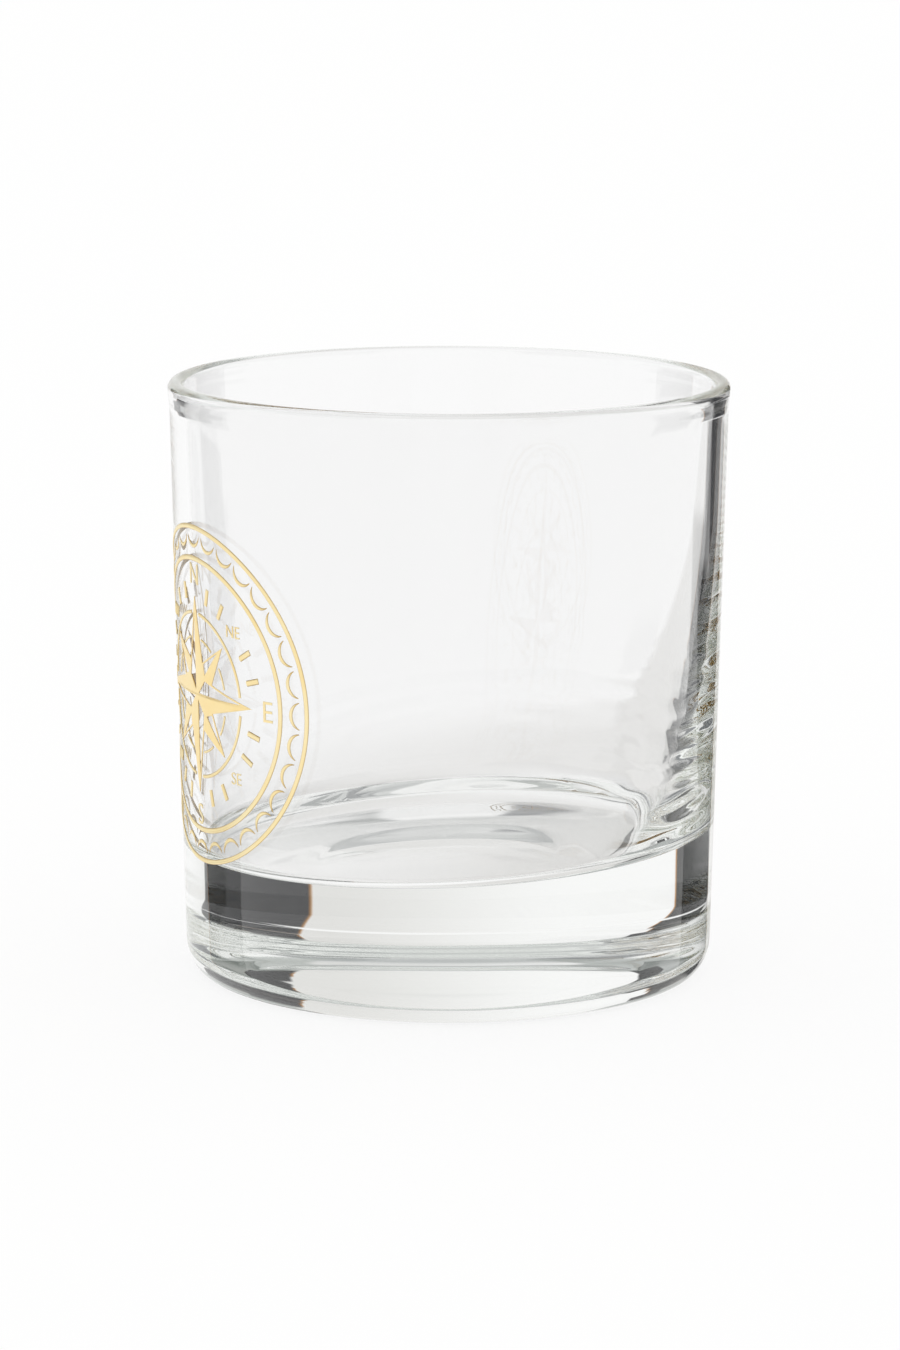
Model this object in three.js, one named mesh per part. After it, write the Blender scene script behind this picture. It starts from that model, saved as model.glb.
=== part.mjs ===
// Whisky tumbler: a heavy-based drinking glass with a gold compass rose fired on its wall.
// Millimetres, +Z up. The origin is the centre of the standing plane and the rose faces -Y.
import * as THREE from "three";
import { TessellateModifier } from "three/addons/modifiers/TessellateModifier.js";

// Glass
const HEIGHT = 90;
const RIM_RADIUS = 42; // outer wall, carried up to the top of the lip
const FOOT_RADIUS = 39.8; // outer wall, carried down to the standing plane
const LIP_WALL = 2.3; // wall thickness under the lip
const FLOOR_WALL = 3.2; // wall thickness at the level of the inner floor
const LIP_SWELL = 0.2; // how far the melted lip stands out from the outer wall
const LIP_BLEND = 3.2; // height over which the outer wall runs out into the lip
const BASE_THICKNESS = 19; // standing plane to the middle of the inner floor
const FLOOR_DISH = 1.2; // rise of the inner floor from its middle to its edge
const FLOOR_CORNER = 2.2; // size of the curve between inner floor and wall
const HEEL_REACH = 3.2; // rounding of the foot, measured inwards
const HEEL_HEIGHT = 4.9; // rounding of the foot, measured upwards
const PUNT_RADIUS = 20; // shallow hollow under the base
const PUNT_DEPTH = 1.2;
const GLASS_SIDES = 72;
const CURVE_STEPS = 4;

// Print, measured on the unrolled wall from the middle of the rose outwards
const ROSE_HEIGHT = 45; // middle of the rose above the standing plane
const PRINT_RELIEF = 0.2; // thickness of the raised gold
const PRINT_CLEARANCE = 0.05; // gap between print and wall
const PRINT_STEP = 3; // longest straight edge of the print along the wall
const STAR_REACH = 14.8; // middle of the rose to the tip of a main point
const STAR_WAIST = 3.8; // middle of the rose to the corner between two main points
const SIDE_REACH = 11.6; // middle of the rose to the tip of a side point
const SIDE_SHOULDER = 5.4; // middle of the rose to the widest place of a side point
const STAR_LINE = 0.42; // line around the open halves of the points
const STAR_GAP = 0.7; // star to the broken ends of the compass ring
const RING_GAP = 0.4; // side point to the compass ring
const RING_WIDTH = 0.55;
const TICK_GAP = 1.8; // compass ring to the ticks
const TICK_LENGTH = 2.5;
const TICK_WIDTH = 0.9;
const LETTER_BAND = 3.15; // ticks to the dial ring
const DIAL_WIDTH = 0.8;
const SCALLOP_GAP = 1.2; // dial ring to the scallops
const SCALLOP_COUNT = 32;
const SCALLOP_DEPTH = 1.8;
const SCALLOP_THICKNESS = 0.65;
const SCALLOP_TIP = 0.14; // blunt end of a scallop
const SCALLOP_SPACING = 0.7; // between the ends of two scallops
const SCALLOP_STEPS = 8;
const BORDER_GAP = 0.9; // scallops to the border ring
const BORDER_WIDTH = 0.75;

// Radii of the rose, each from the one inside it
const RING_INNER = SIDE_REACH + RING_GAP;
const RING_OUTER = RING_INNER + RING_WIDTH;
const TICK_INNER = RING_OUTER + TICK_GAP;
const TICK_OUTER = TICK_INNER + TICK_LENGTH;
const DIAL_INNER = TICK_OUTER + LETTER_BAND;
const DIAL_OUTER = DIAL_INNER + DIAL_WIDTH;
const SCALLOP_ENDS = DIAL_OUTER + SCALLOP_GAP + SCALLOP_DEPTH;
const BORDER_INNER = SCALLOP_ENDS + BORDER_GAP;
const BORDER_OUTER = BORDER_INNER + BORDER_WIDTH;

const QUARTER = 360 / 4;
const EIGHTH = QUARTER / 2;
const ROUNDING = 0.5523; // handle length that makes a cubic curve a quarter ellipse

const glass = { color: 0xe9efec, roughness: 0.04, metalness: 0, transparent: true, opacity: 0.4 };
const gold = { color: 0xd9ab55, roughness: 0.32, metalness: 1 };

function outerRadius(z) {
  return THREE.MathUtils.lerp(FOOT_RADIUS, RIM_RADIUS, z / HEIGHT);
}

function innerRadius(z) {
  const share = (z - BASE_THICKNESS) / (HEIGHT - BASE_THICKNESS);
  return outerRadius(z) - THREE.MathUtils.lerp(FLOOR_WALL, LIP_WALL, share);
}

// Curve that leaves the path's last point towards the corner and reaches the end from it
function roundCorner(path, corner, end) {
  const first = path.currentPoint.clone().lerp(corner, ROUNDING);
  const second = end.clone().lerp(corner, ROUNDING);
  path.bezierCurveTo(first.x, first.y, second.x, second.y, end.x, end.y);
}

// Half section of the glass, from the middle of the underside round to the middle of the floor
function tumblerSection() {
  const lipRadius = (LIP_WALL + LIP_SWELL) / 2;
  const lipHeight = HEIGHT - lipRadius;
  const lipEdge = outerRadius(lipHeight) + LIP_SWELL;
  const blendStart = lipHeight - LIP_BLEND;
  const path = new THREE.Path();
  path.moveTo(0, PUNT_DEPTH);
  path.quadraticCurveTo(PUNT_RADIUS / 2, PUNT_DEPTH, PUNT_RADIUS, 0);
  path.lineTo(FOOT_RADIUS - HEEL_REACH, 0);
  roundCorner(
    path,
    new THREE.Vector2(FOOT_RADIUS, 0),
    new THREE.Vector2(outerRadius(HEEL_HEIGHT), HEEL_HEIGHT),
  );
  path.lineTo(outerRadius(blendStart), blendStart);
  path.bezierCurveTo(
    outerRadius(lipHeight - LIP_BLEND / 2),
    lipHeight - LIP_BLEND / 2,
    lipEdge,
    lipHeight - LIP_BLEND / 2,
    lipEdge,
    lipHeight,
  );
  path.absarc(lipEdge - lipRadius, lipHeight, lipRadius, 0, Math.PI, false);

  const edgeHeight = BASE_THICKNESS + FLOOR_DISH;
  const edgeRadius = innerRadius(edgeHeight) - FLOOR_CORNER;
  const wallStart = edgeHeight + FLOOR_CORNER;
  const rise = (2 * FLOOR_DISH) / edgeRadius;
  const cornerHeight = edgeHeight + rise * FLOOR_CORNER;
  path.lineTo(innerRadius(wallStart), wallStart);
  roundCorner(
    path,
    new THREE.Vector2(innerRadius(cornerHeight), cornerHeight),
    new THREE.Vector2(edgeRadius, edgeHeight),
  );
  path.quadraticCurveTo(edgeRadius / 2, BASE_THICKNESS, 0, BASE_THICKNESS);
  return path.getPoints(CURVE_STEPS);
}

function tumbler() {
  const geometry = new THREE.LatheGeometry(tumblerSection(), GLASS_SIDES);
  geometry.rotateX(Math.PI / 2);
  const mesh = new THREE.Mesh(geometry, new THREE.MeshStandardMaterial(glass));
  mesh.name = "tumbler";
  return mesh;
}

// Point of the unrolled rose at a compass bearing in degrees, clockwise from the top
function atBearing(radius, bearing) {
  const turn = THREE.MathUtils.degToRad(bearing);
  return new THREE.Vector2(radius * Math.sin(turn), radius * Math.cos(turn));
}

// Lays a flat piece of print, drawn in X and Y with its relief in Z, around the tapered wall
function printed(name, flat) {
  const position = flat.getAttribute("position");
  const middle = outerRadius(ROSE_HEIGHT);
  for (let i = 0; i < position.count; i += 1) {
    const turn = position.getX(i) / middle;
    const z = ROSE_HEIGHT + position.getY(i);
    const radius = outerRadius(z) + PRINT_CLEARANCE + position.getZ(i);
    position.setXYZ(i, radius * Math.sin(turn), -radius * Math.cos(turn), z);
  }
  flat.computeVertexNormals();
  const mesh = new THREE.Mesh(flat, new THREE.MeshStandardMaterial(gold));
  mesh.name = name;
  return mesh;
}

// Flat strip of print between a left and a right curve, closed into a ring or capped at its ends
function strip(left, right, closed = false) {
  const longest = Math.max(left.getLength(), right.getLength());
  const steps = Math.max(1, Math.ceil(longest / PRINT_STEP));
  return sweep(left.getPoints(steps), right.getPoints(steps), closed);
}

function sweep(left, right, closed) {
  const count = closed ? left.length - 1 : left.length;
  const corners = [];
  for (let i = 0; i < count; i += 1) {
    corners.push(left[i].x, left[i].y, 0, right[i].x, right[i].y, 0);
    corners.push(right[i].x, right[i].y, PRINT_RELIEF, left[i].x, left[i].y, PRINT_RELIEF);
  }
  const faces = [];
  const spans = closed ? count : count - 1;
  for (let i = 0; i < spans; i += 1) {
    const here = 4 * i;
    const next = 4 * ((i + 1) % count);
    for (let side = 0; side < 4; side += 1) {
      const turn = (side + 1) % 4;
      faces.push(here + side, next + side, next + turn, here + side, next + turn, here + turn);
    }
  }
  if (!closed) {
    const last = 4 * (count - 1);
    faces.push(0, 1, 2, 0, 2, 3, last, last + 2, last + 1, last, last + 3, last + 2);
  }
  const geometry = new THREE.BufferGeometry();
  geometry.setAttribute("position", new THREE.Float32BufferAttribute(corners, 3));
  geometry.setIndex(faces);
  return geometry;
}

function circle(radius, start = 0, end = 2 * Math.PI) {
  return new THREE.EllipseCurve(0, 0, radius, radius, start, end, false);
}

// Arc that bulges towards the middle of the rose between two ends on a chord
function scallopArc(direction, halfChord, depth) {
  const radius = (halfChord ** 2 + depth ** 2) / (2 * depth);
  const centre = SCALLOP_ENDS - depth + radius;
  const opening = 2 * Math.atan(depth / halfChord);
  return new THREE.EllipseCurve(
    centre * Math.cos(direction),
    centre * Math.sin(direction),
    radius,
    radius,
    direction + Math.PI - opening,
    direction + Math.PI + opening,
    false,
  );
}

function scallop(index) {
  const pitch = (2 * Math.PI) / SCALLOP_COUNT;
  const direction = Math.PI / 2 - index * pitch;
  const halfChord = SCALLOP_ENDS * Math.tan(pitch / 2) - SCALLOP_SPACING / 2;
  const belly = scallopArc(direction, halfChord, SCALLOP_DEPTH);
  const hollow = scallopArc(direction, halfChord - SCALLOP_TIP, SCALLOP_DEPTH - SCALLOP_THICKNESS);
  const flat = sweep(hollow.getPoints(SCALLOP_STEPS), belly.getPoints(SCALLOP_STEPS), false);
  return printed(`scallop_${String(index + 1).padStart(2, "0")}`, flat);
}

function tick(bearing) {
  const half = TICK_WIDTH / 2;
  const across = atBearing(half, bearing - QUARTER);
  const edge = (side) =>
    new THREE.LineCurve(
      atBearing(TICK_INNER, bearing).addScaledVector(across, side),
      atBearing(TICK_OUTER, bearing).addScaledVector(across, side),
    );
  return printed(`tick_${String(bearing).padStart(3, "0")}`, strip(edge(1), edge(-1)));
}

// Quarter of the compass ring, broken to let the main points of the star through
function compassArc(bearing) {
  const waist = STAR_WAIST * Math.SQRT1_2;
  const halfWidth = (waist * Math.max(0, STAR_REACH - RING_INNER)) / (STAR_REACH - waist);
  const opening = Math.asin((halfWidth + STAR_GAP) / RING_INNER);
  const middle = THREE.MathUtils.degToRad(QUARTER - bearing);
  const reach = Math.PI / 4 - opening;
  const flat = strip(
    circle(RING_INNER, middle - reach, middle + reach),
    circle(RING_OUTER, middle - reach, middle + reach),
  );
  return printed(`compass_ring_${String(bearing).padStart(3, "0")}`, flat);
}

// Where the line through a and b meets the line through c and d
function crossing(a, b, c, d) {
  const along = b.clone().sub(a);
  const other = d.clone().sub(c);
  const share = c.clone().sub(a).cross(other) / along.cross(other);
  return a.clone().addScaledVector(along, share);
}

// Open half of a point: the triangle drawn in by one line's width on every side
function openHalf(a, b, c) {
  const [oppositeA, oppositeB, oppositeC] = [b.distanceTo(c), c.distanceTo(a), a.distanceTo(b)];
  const around = oppositeA + oppositeB + oppositeC;
  const centre = new THREE.Vector2()
    .addScaledVector(a, oppositeA / around)
    .addScaledVector(b, oppositeB / around)
    .addScaledVector(c, oppositeC / around);
  const area = Math.abs(b.clone().sub(a).cross(c.clone().sub(a))) / 2;
  const share = 1 - (STAR_LINE * around) / (2 * area);
  return new THREE.Path([a, b, c].map((corner) => centre.clone().lerp(corner, share)));
}

// Eight-pointed star: every point is solid on its clockwise half and open on the other
function compassStar() {
  const outline = [];
  const openings = [];
  const middle = new THREE.Vector2(0, 0);
  for (let main = 0; main < 4 * QUARTER; main += QUARTER) {
    const side = main + EIGHTH;
    const mainTip = atBearing(STAR_REACH, main);
    const sideTip = atBearing(SIDE_REACH, side);
    const nextTip = atBearing(STAR_REACH, main + QUARTER);
    const waist = atBearing(STAR_WAIST, side);
    const before = atBearing(SIDE_SHOULDER, side - EIGHTH / 2);
    const after = atBearing(SIDE_SHOULDER, side + EIGHTH / 2);
    const notch = crossing(mainTip, waist, sideTip, before);
    outline.push(mainTip, notch, sideTip, crossing(nextTip, waist, sideTip, after));
    openings.push(openHalf(middle, waist, nextTip), openHalf(waist, notch, sideTip));
  }
  const shape = new THREE.Shape(outline.reverse());
  shape.holes = openings;
  const flat = new THREE.ExtrudeGeometry(shape, { depth: PRINT_RELIEF, bevelEnabled: false });
  return printed("compass_star", new TessellateModifier(PRINT_STEP, 8).modify(flat));
}

const glassWithRose = new THREE.Group();
glassWithRose.name = "whisky_tumbler";
glassWithRose.add(tumbler());
glassWithRose.add(printed("border_ring", strip(circle(BORDER_INNER), circle(BORDER_OUTER), true)));
for (let index = 0; index < SCALLOP_COUNT; index += 1) {
  glassWithRose.add(scallop(index));
}
glassWithRose.add(printed("dial_ring", strip(circle(DIAL_INNER), circle(DIAL_OUTER), true)));
for (let corner = 0; corner < 4 * QUARTER; corner += EIGHTH) {
  glassWithRose.add(tick(corner + EIGHTH / 3), tick(corner + (2 * EIGHTH) / 3));
}
for (let bearing = EIGHTH; bearing < 4 * QUARTER; bearing += QUARTER) {
  glassWithRose.add(compassArc(bearing));
}
glassWithRose.add(compassStar());

export default glassWithRose;
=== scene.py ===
import logging
import math
from collections.abc import Callable, Mapping, Sequence
from dataclasses import dataclass, field
from enum import Enum
from typing import Any

import bmesh
import bpy
from bpy.types import Curve, Material, Mesh, Node, NodeSocket, NodeTree, Object
from mathutils import Euler, Matrix, Vector


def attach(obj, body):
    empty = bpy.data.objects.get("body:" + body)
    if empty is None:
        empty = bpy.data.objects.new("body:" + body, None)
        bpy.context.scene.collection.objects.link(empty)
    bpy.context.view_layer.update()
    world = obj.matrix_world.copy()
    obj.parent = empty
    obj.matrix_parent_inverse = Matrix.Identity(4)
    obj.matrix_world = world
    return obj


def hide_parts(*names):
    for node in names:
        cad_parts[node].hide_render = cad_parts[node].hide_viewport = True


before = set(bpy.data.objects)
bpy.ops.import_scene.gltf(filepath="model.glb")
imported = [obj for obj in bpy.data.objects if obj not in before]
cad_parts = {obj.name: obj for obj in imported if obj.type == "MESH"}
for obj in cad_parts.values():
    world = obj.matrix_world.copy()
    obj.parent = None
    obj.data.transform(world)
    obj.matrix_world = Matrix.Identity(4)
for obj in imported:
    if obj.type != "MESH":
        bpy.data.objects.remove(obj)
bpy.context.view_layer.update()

log = logging.getLogger("whisky_tumbler")

MM = 0.001
WELD = 1e-6  # metres, closes seams and poles
GLASS_BOUNCES = 120  # light goes round inside the thick base many times
QUARTER_HANDLE = 0.5523  # handle length that makes a cubic curve a quarter ellipse
BOWL_HANDLE = 2 / 3  # handle length that makes a cubic curve a parabola
CAP_HEIGHT = 0.729  # height of a capital as a share of the text size
NOISE_MIDDLE = 0.5
WHITE = "#FFFFFF"
MATH = "ShaderNodeMath"
VECTOR_MATH = "ShaderNodeVectorMath"
COMBINE = "ShaderNodeCombineXYZ"
SEPARATE = "ShaderNodeSeparateXYZ"
ROTATE = "ShaderNodeVectorRotate"
MAP_RANGE = "ShaderNodeMapRange"
MIX = "ShaderNodeMix"
Point = tuple[float, float]
Feed = Node | NodeSocket | float
Inputs = Mapping[str, NodeSocket]
Draw = Callable[[NodeTree, Inputs], Node]
# Kind of tree input for each kind of value
SOCKETS = {
    Mesh: "NodeSocketGeometry",
    float: "NodeSocketFloat",
    int: "NodeSocketInt",
    bool: "NodeSocketBool",
    Material: "NodeSocketMaterial",
}


def linear(code: str) -> tuple[float, float, float, float]:
    """Turns an sRGB hex colour into linear light.

    Args:
        code: Colour as "#rrggbb".

    Returns:
        Linear red, green, blue and a full alpha.
    """
    shares = [int(code[i : i + 2], 16) / 255 for i in (1, 3, 5)]
    parts = [s / 12.92 if s <= 0.04045 else ((s + 0.055) / 1.055) ** 2.4 for s in shares]
    return (parts[0], parts[1], parts[2], 1.0)


def add_node(
    tree: NodeTree,
    kind: str,
    inputs: Mapping[str | int, Any] | None = None,
    operation: str | None = None,
    **settings: Any,
) -> Node:
    """Adds one node with its settings, values and links.

    Args:
        tree: Tree that receives the node.
        kind: Blender's identifier of the node type.
        inputs: Socket name or index to a value, or to the socket or node that feeds it. A node
            feeds by its first output in use.
        operation: What a node of arithmetic does, or nothing.
        **settings: Other properties of the node, set before its inputs.

    Returns:
        The new node.
    """
    node = tree.nodes.new(kind)
    if operation:
        node.operation = operation
    for name, value in settings.items():
        setattr(node, name, value)
    for key, value in (inputs or {}).items():
        if isinstance(value, Node):
            value = next(output for output in value.outputs if output.enabled)
        if isinstance(value, NodeSocket):
            tree.links.new(value, node.inputs[key])
        else:
            node.inputs[key].default_value = value
    return node


def new_tree(name: str, values: Mapping[str, Any], draw: Draw) -> NodeTree:
    """Makes a Geometry Nodes tree that ends in smooth, realized geometry with its finish.

    Args:
        name: Name of the tree.
        values: Input name to a value of its kind. The first is the mesh that the tree starts from.
        draw: Adds the nodes of the shape, given the tree and its inputs, and returns the last.

    Returns:
        The tree.
    """
    tree = bpy.data.node_groups.new(name, "GeometryNodeTree")
    for label, value in values.items():
        tree.interface.new_socket(label, in_out="INPUT", socket_type=SOCKETS[type(value)])
    tree.interface.new_socket("Geometry", in_out="OUTPUT", socket_type=SOCKETS[Mesh])
    given = add_node(tree, "NodeGroupInput").outputs
    smooth = add_node(tree, "GeometryNodeSetShadeSmooth", {"Geometry": draw(tree, given)})
    real = add_node(tree, "GeometryNodeRealizeInstances", {"Geometry": smooth})
    dress = {"Geometry": real, "Material": given["Finish"]}
    dressed = add_node(tree, "GeometryNodeSetMaterial", dress)
    add_node(tree, "NodeGroupOutput", {"Geometry": dressed})
    return tree


def bake(name: str, values: dict[str, Any], draw: Draw, source: Mesh | None = None) -> Object:
    """Makes a piece by a tree of its own and keeps the result as a plain mesh object.

    Args:
        name: Name of the piece.
        values: Input name to value.
        draw: Adds the nodes of the shape to the tree.
        source: Mesh that the tree starts from, or nothing.

    Returns:
        The piece, with no modifier left on it.
    """
    source = source or bpy.data.meshes.new(name)
    piece = bpy.data.objects.new(name, source)
    bpy.context.scene.collection.objects.link(piece)
    tree = new_tree(name, {"Source": source} | values, draw)
    modifier = piece.modifiers.new(name, "NODES")
    modifier.node_group = tree
    for item in tree.interface.items_tree:
        if item.in_out == "INPUT" and item.name in values:
            modifier[item.identifier] = values[item.name]
    graph = bpy.context.evaluated_depsgraph_get()
    mesh = bpy.data.meshes.new_from_object(piece.evaluated_get(graph))
    piece.modifiers.remove(modifier)
    piece.data = mesh
    mesh.name = name
    return piece


def settle(piece: Object, nodes: Sequence[str] = ()) -> None:
    """Fixes a finished piece to the frame.

    Args:
        piece: Finished piece, in place.
        nodes: CAD nodes that the piece stands for.
    """
    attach(piece, "root")
    if nodes:
        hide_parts(*nodes)
    log.info("%s: %d faces", piece.name, len(piece.data.polygons))


def new_material(name: str) -> tuple[Material, NodeTree]:
    """Starts a material.

    Args:
        name: Name of the material.

    Returns:
        The material and its empty tree.
    """
    material = bpy.data.materials.new(name)
    material.use_nodes = True
    material.node_tree.nodes.clear()
    return material, material.node_tree


@dataclass(frozen=True)
class BlownGlass:
    """Soda-lime glass, blown and fire polished: clear, with a faint green in its depth."""

    name: str = "soda_lime_glass_fire_polished"
    colour: str = "#FAFAFA"
    refraction: float = 1.52
    roughness: float = 0.0
    depth_colour: str = "#E0EBDC"
    depth_density: float = 1.3  # per metre, for the share that the colour takes away

    def make(self) -> Material:
        """Makes the material.

        Returns:
            The glass.
        """
        material, tree = new_material(self.name)
        clear = {"Roughness": self.roughness, "IOR": self.refraction, "Transmission Weight": 1.0}
        tint = {"Base Color": linear(self.colour)}
        surface = add_node(tree, "ShaderNodeBsdfPrincipled", tint | clear)
        green = {"Color": linear(self.depth_colour), "Density": self.depth_density}
        depth = add_node(tree, "ShaderNodeVolumeAbsorption", green)
        add_node(tree, "ShaderNodeOutputMaterial", {"Surface": surface, "Volume": depth})
        return material


@dataclass(frozen=True)
class FiredGold:
    """Gold fired over raised paste: pale and softly glossy on top, with painted shade that darkens the
    low edges of the relief.
    """

    name: str = "fired_gold_line"
    colour: str = "#FADD96"
    pale_colour: str = "#FFF2C6"
    # Painted shade: colour of the low edges of each raised line
    shaded_edge_colour: str = "#CCAC6C"
    edge_shade_lift: Point = (0.25, 0.85)  # share of the relief over which the painted edge shade fades out
    metallic: float = 0.32
    roughness: Point = (0.3, 0.42)
    cloud_mm: float = 6.0  # size of the paler patches
    grain_mm: float = 0.35  # size of the paste's grain
    grain_height_mm: float = 0.02
    grain_strength: float = 0.6

    def make(self) -> Material:
        """Makes the material.

        Returns:
            The gold.
        """
        material, tree = new_material(self.name)
        place = {"Vector": add_node(tree, "ShaderNodeTexCoord").outputs["Object"]}
        cloud, grain = (
            add_node(tree, "ShaderNodeTexNoise", place | {"Scale": 1 / (size * MM), "Detail": detail})
            for size, detail in ((self.cloud_mm, 2.0), (self.grain_mm, 1.0))
        )
        tones = {0: cloud, 6: linear(self.colour), 7: linear(self.pale_colour)}
        tone = add_node(tree, MIX, tones, data_type="RGBA")
        # Painted shade: the gold darkens towards the low edges of the relief, by its share of the
        # relief height
        lift = add_node(tree, "ShaderNodeAttribute", attribute_name="lift").outputs["Fac"]
        rise = {"Value": lift, "From Min": self.edge_shade_lift[0], "From Max": self.edge_shade_lift[1]}
        unshaded = add_node(tree, MAP_RANGE, rise, interpolation_type="SMOOTHSTEP")
        edge_shading = {0: unshaded, 6: linear(self.shaded_edge_colour), 7: tone}
        shaded_tone = add_node(tree, MIX, edge_shading, data_type="RGBA")
        span = {"Value": grain, "To Min": self.roughness[0], "To Max": self.roughness[1]}
        gloss = add_node(tree, MAP_RANGE, span)
        height = {"Distance": self.grain_height_mm * MM, "Strength": self.grain_strength}
        bump = add_node(tree, "ShaderNodeBump", {"Height": grain} | height)
        look = {"Base Color": shaded_tone, "Metallic": self.metallic, "Roughness": gloss, "Normal": bump}
        surface = add_node(tree, "ShaderNodeBsdfPrincipled", look)
        add_node(tree, "ShaderNodeOutputMaterial", {"Surface": surface})
        return material


def between(first: Point, second: Point, share: float) -> Point:
    """Finds the point at a share of the way from the first to the second."""
    return (first[0] + (second[0] - first[0]) * share, first[1] + (second[1] - first[1]) * share)


@dataclass
class Section:
    """Half section of the glass: points of radius and height, in millimetres."""

    points: list[Point]
    inner_row: int = 0  # first point on the inside of the glass

    def line(self, end: Point, steps: int) -> None:
        """Draws a straight stretch in the given number of steps."""
        first = self.points[-1]
        self.points += [between(first, end, i / steps) for i in range(1, steps + 1)]

    def curve(self, first: Point, second: Point, end: Point, steps: int) -> None:
        """Draws a cubic curve.

        Args:
            first: Handle at the start.
            second: Handle at the end.
            end: Last point.
            steps: Number of pieces it is cut into.
        """
        corners = (self.points[-1], first, second, end)
        for i in range(1, steps + 1):
            t = i / steps
            weights = ((1 - t) ** 3, 3 * t * (1 - t) ** 2, 3 * t * t * (1 - t), t**3)
            r, z = (sum(w * c[axis] for w, c in zip(weights, corners)) for axis in (0, 1))
            self.points.append((r, z))

    def corner(self, corner: Point, end: Point, steps: int, handle: float = QUARTER_HANDLE) -> None:
        """Rounds a corner between the last point and the end.

        Args:
            corner: Where the two straight sides would meet.
            end: Last point.
            steps: Number of pieces the rounding is cut into.
            handle: Length of the curve's handles as a share of the sides.
        """
        first, second = (between(point, corner, handle) for point in (self.points[-1], end))
        self.curve(first, second, end, steps)

    def parabola(self, end: Point, flat: float, steps: int) -> None:
        """Draws a shallow bowl between an edge and the axis, where it has the flat height."""
        middle = ((self.points[-1][0] + end[0]) / 2, flat)
        self.corner(middle, end, steps, BOWL_HANDLE)

    def arc(self, centre: Point, radius: float, steps: int) -> None:
        """Draws the half circle over the lip, from its outer to its inner side.

        Args:
            centre: Centre of the circle.
            radius: Its radius.
            steps: Number of pieces it is cut into.
        """
        for i in range(1, steps + 1):
            turn = math.pi * i / steps
            r, z = centre[0] + radius * math.cos(turn), centre[1] + radius * math.sin(turn)
            self.points.append((r, z))


@dataclass(frozen=True)
class TumblerSizes:
    """Driving sizes of the glass, in millimetres."""

    height: float = 90.0
    rim_radius: float = 42.0
    foot_radius: float = 39.8
    lip_wall: float = 2.3
    floor_wall: float = 3.2
    lip_swell: float = 0.2
    lip_blend: float = 3.2
    base_thickness: float = 19.0
    floor_dish: float = 1.2
    floor_corner: float = 2.2
    heel_reach: float = 3.2
    heel_height: float = 4.9
    punt_radius: float = 20.0
    punt_depth: float = 1.2
    wrinkled_height: float = 33.0  # stretch of the inner wall above the floor that chilled unevenly

    @property
    def taper(self) -> float:
        """Growth of the outer radius for each millimetre of height."""
        return (self.rim_radius - self.foot_radius) / self.height

    def outer(self, z: float) -> float:
        """Outer radius of the wall at a height."""
        return self.foot_radius + self.taper * z

    def inner(self, z: float) -> float:
        """Inner radius of the wall at a height."""
        share = (z - self.base_thickness) / (self.height - self.base_thickness)
        return self.outer(z) - self.floor_wall - (self.lip_wall - self.floor_wall) * share

    def section(self) -> Section:
        """Draws the half section from under the base round to the inner floor.

        Returns:
            The section.
        """
        lip = (self.lip_wall + self.lip_swell) / 2
        lip_z = self.height - lip
        lip_edge = self.outer(lip_z) + self.lip_swell
        blend_z = lip_z - self.lip_blend
        mid_z = lip_z - self.lip_blend / 2
        edge_z = self.base_thickness + self.floor_dish
        edge_r = self.inner(edge_z) - self.floor_corner
        wall_z = edge_z + self.floor_corner
        calm_z = wall_z + self.wrinkled_height
        corner_z = edge_z + 2 * self.floor_dish / edge_r * self.floor_corner
        heel_end = (self.outer(self.heel_height), self.heel_height)

        section = Section([(0.0, self.punt_depth)])
        section.parabola((self.punt_radius, 0.0), self.punt_depth, steps=24)
        section.line((self.foot_radius - self.heel_reach, 0.0), steps=6)
        section.corner((self.foot_radius, 0.0), heel_end, steps=20)
        section.line((self.outer(blend_z), blend_z), steps=40)
        section.curve((self.outer(mid_z), mid_z), (lip_edge, mid_z), (lip_edge, lip_z), steps=10)
        section.arc((lip_edge - lip, lip_z), lip, steps=24)
        section.inner_row = len(section.points)
        section.line((self.inner(calm_z), calm_z), steps=24)
        section.line((self.inner(wall_z), wall_z), steps=90)
        section.corner((self.inner(corner_z), corner_z), (edge_r, edge_z), steps=24)
        section.parabola((0.0, self.base_thickness), self.base_thickness, steps=30)
        return section


@dataclass(frozen=True)
class GlassFlaws:
    """Unevenness that hand making leaves in the glass, in millimetres and degrees."""

    lean_deg: float = 1.9  # tilt of the inner floor
    lean_bearing_deg: float = 79.0  # direction in which the floor rises, from +X towards +Y
    lean_top: float = 70.0  # height at which the inner wall is true again
    thick_side: float = 3.6  # extra wall where the floor rises
    fillet: float = 1.4  # extra rounding of the floor's corner there
    fillet_top: float = 31.0
    outer_part: Point = (34.0, 8.0)  # radius where wall and floor are uneven, and where true
    wrinkle_height: float = 0.5
    wrinkle_length: float = 2.4  # up the wall
    wrinkle_width: float = 14.0  # around the wall
    wrinkle_side: Point = (0.95, 0.4)  # cosine to the lean's bearing where whole, and where gone
    wave_height: float = 0.1
    wave_size: float = 13.0
    wave_top: float = 26.0  # height at which the outer wall is true again


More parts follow.
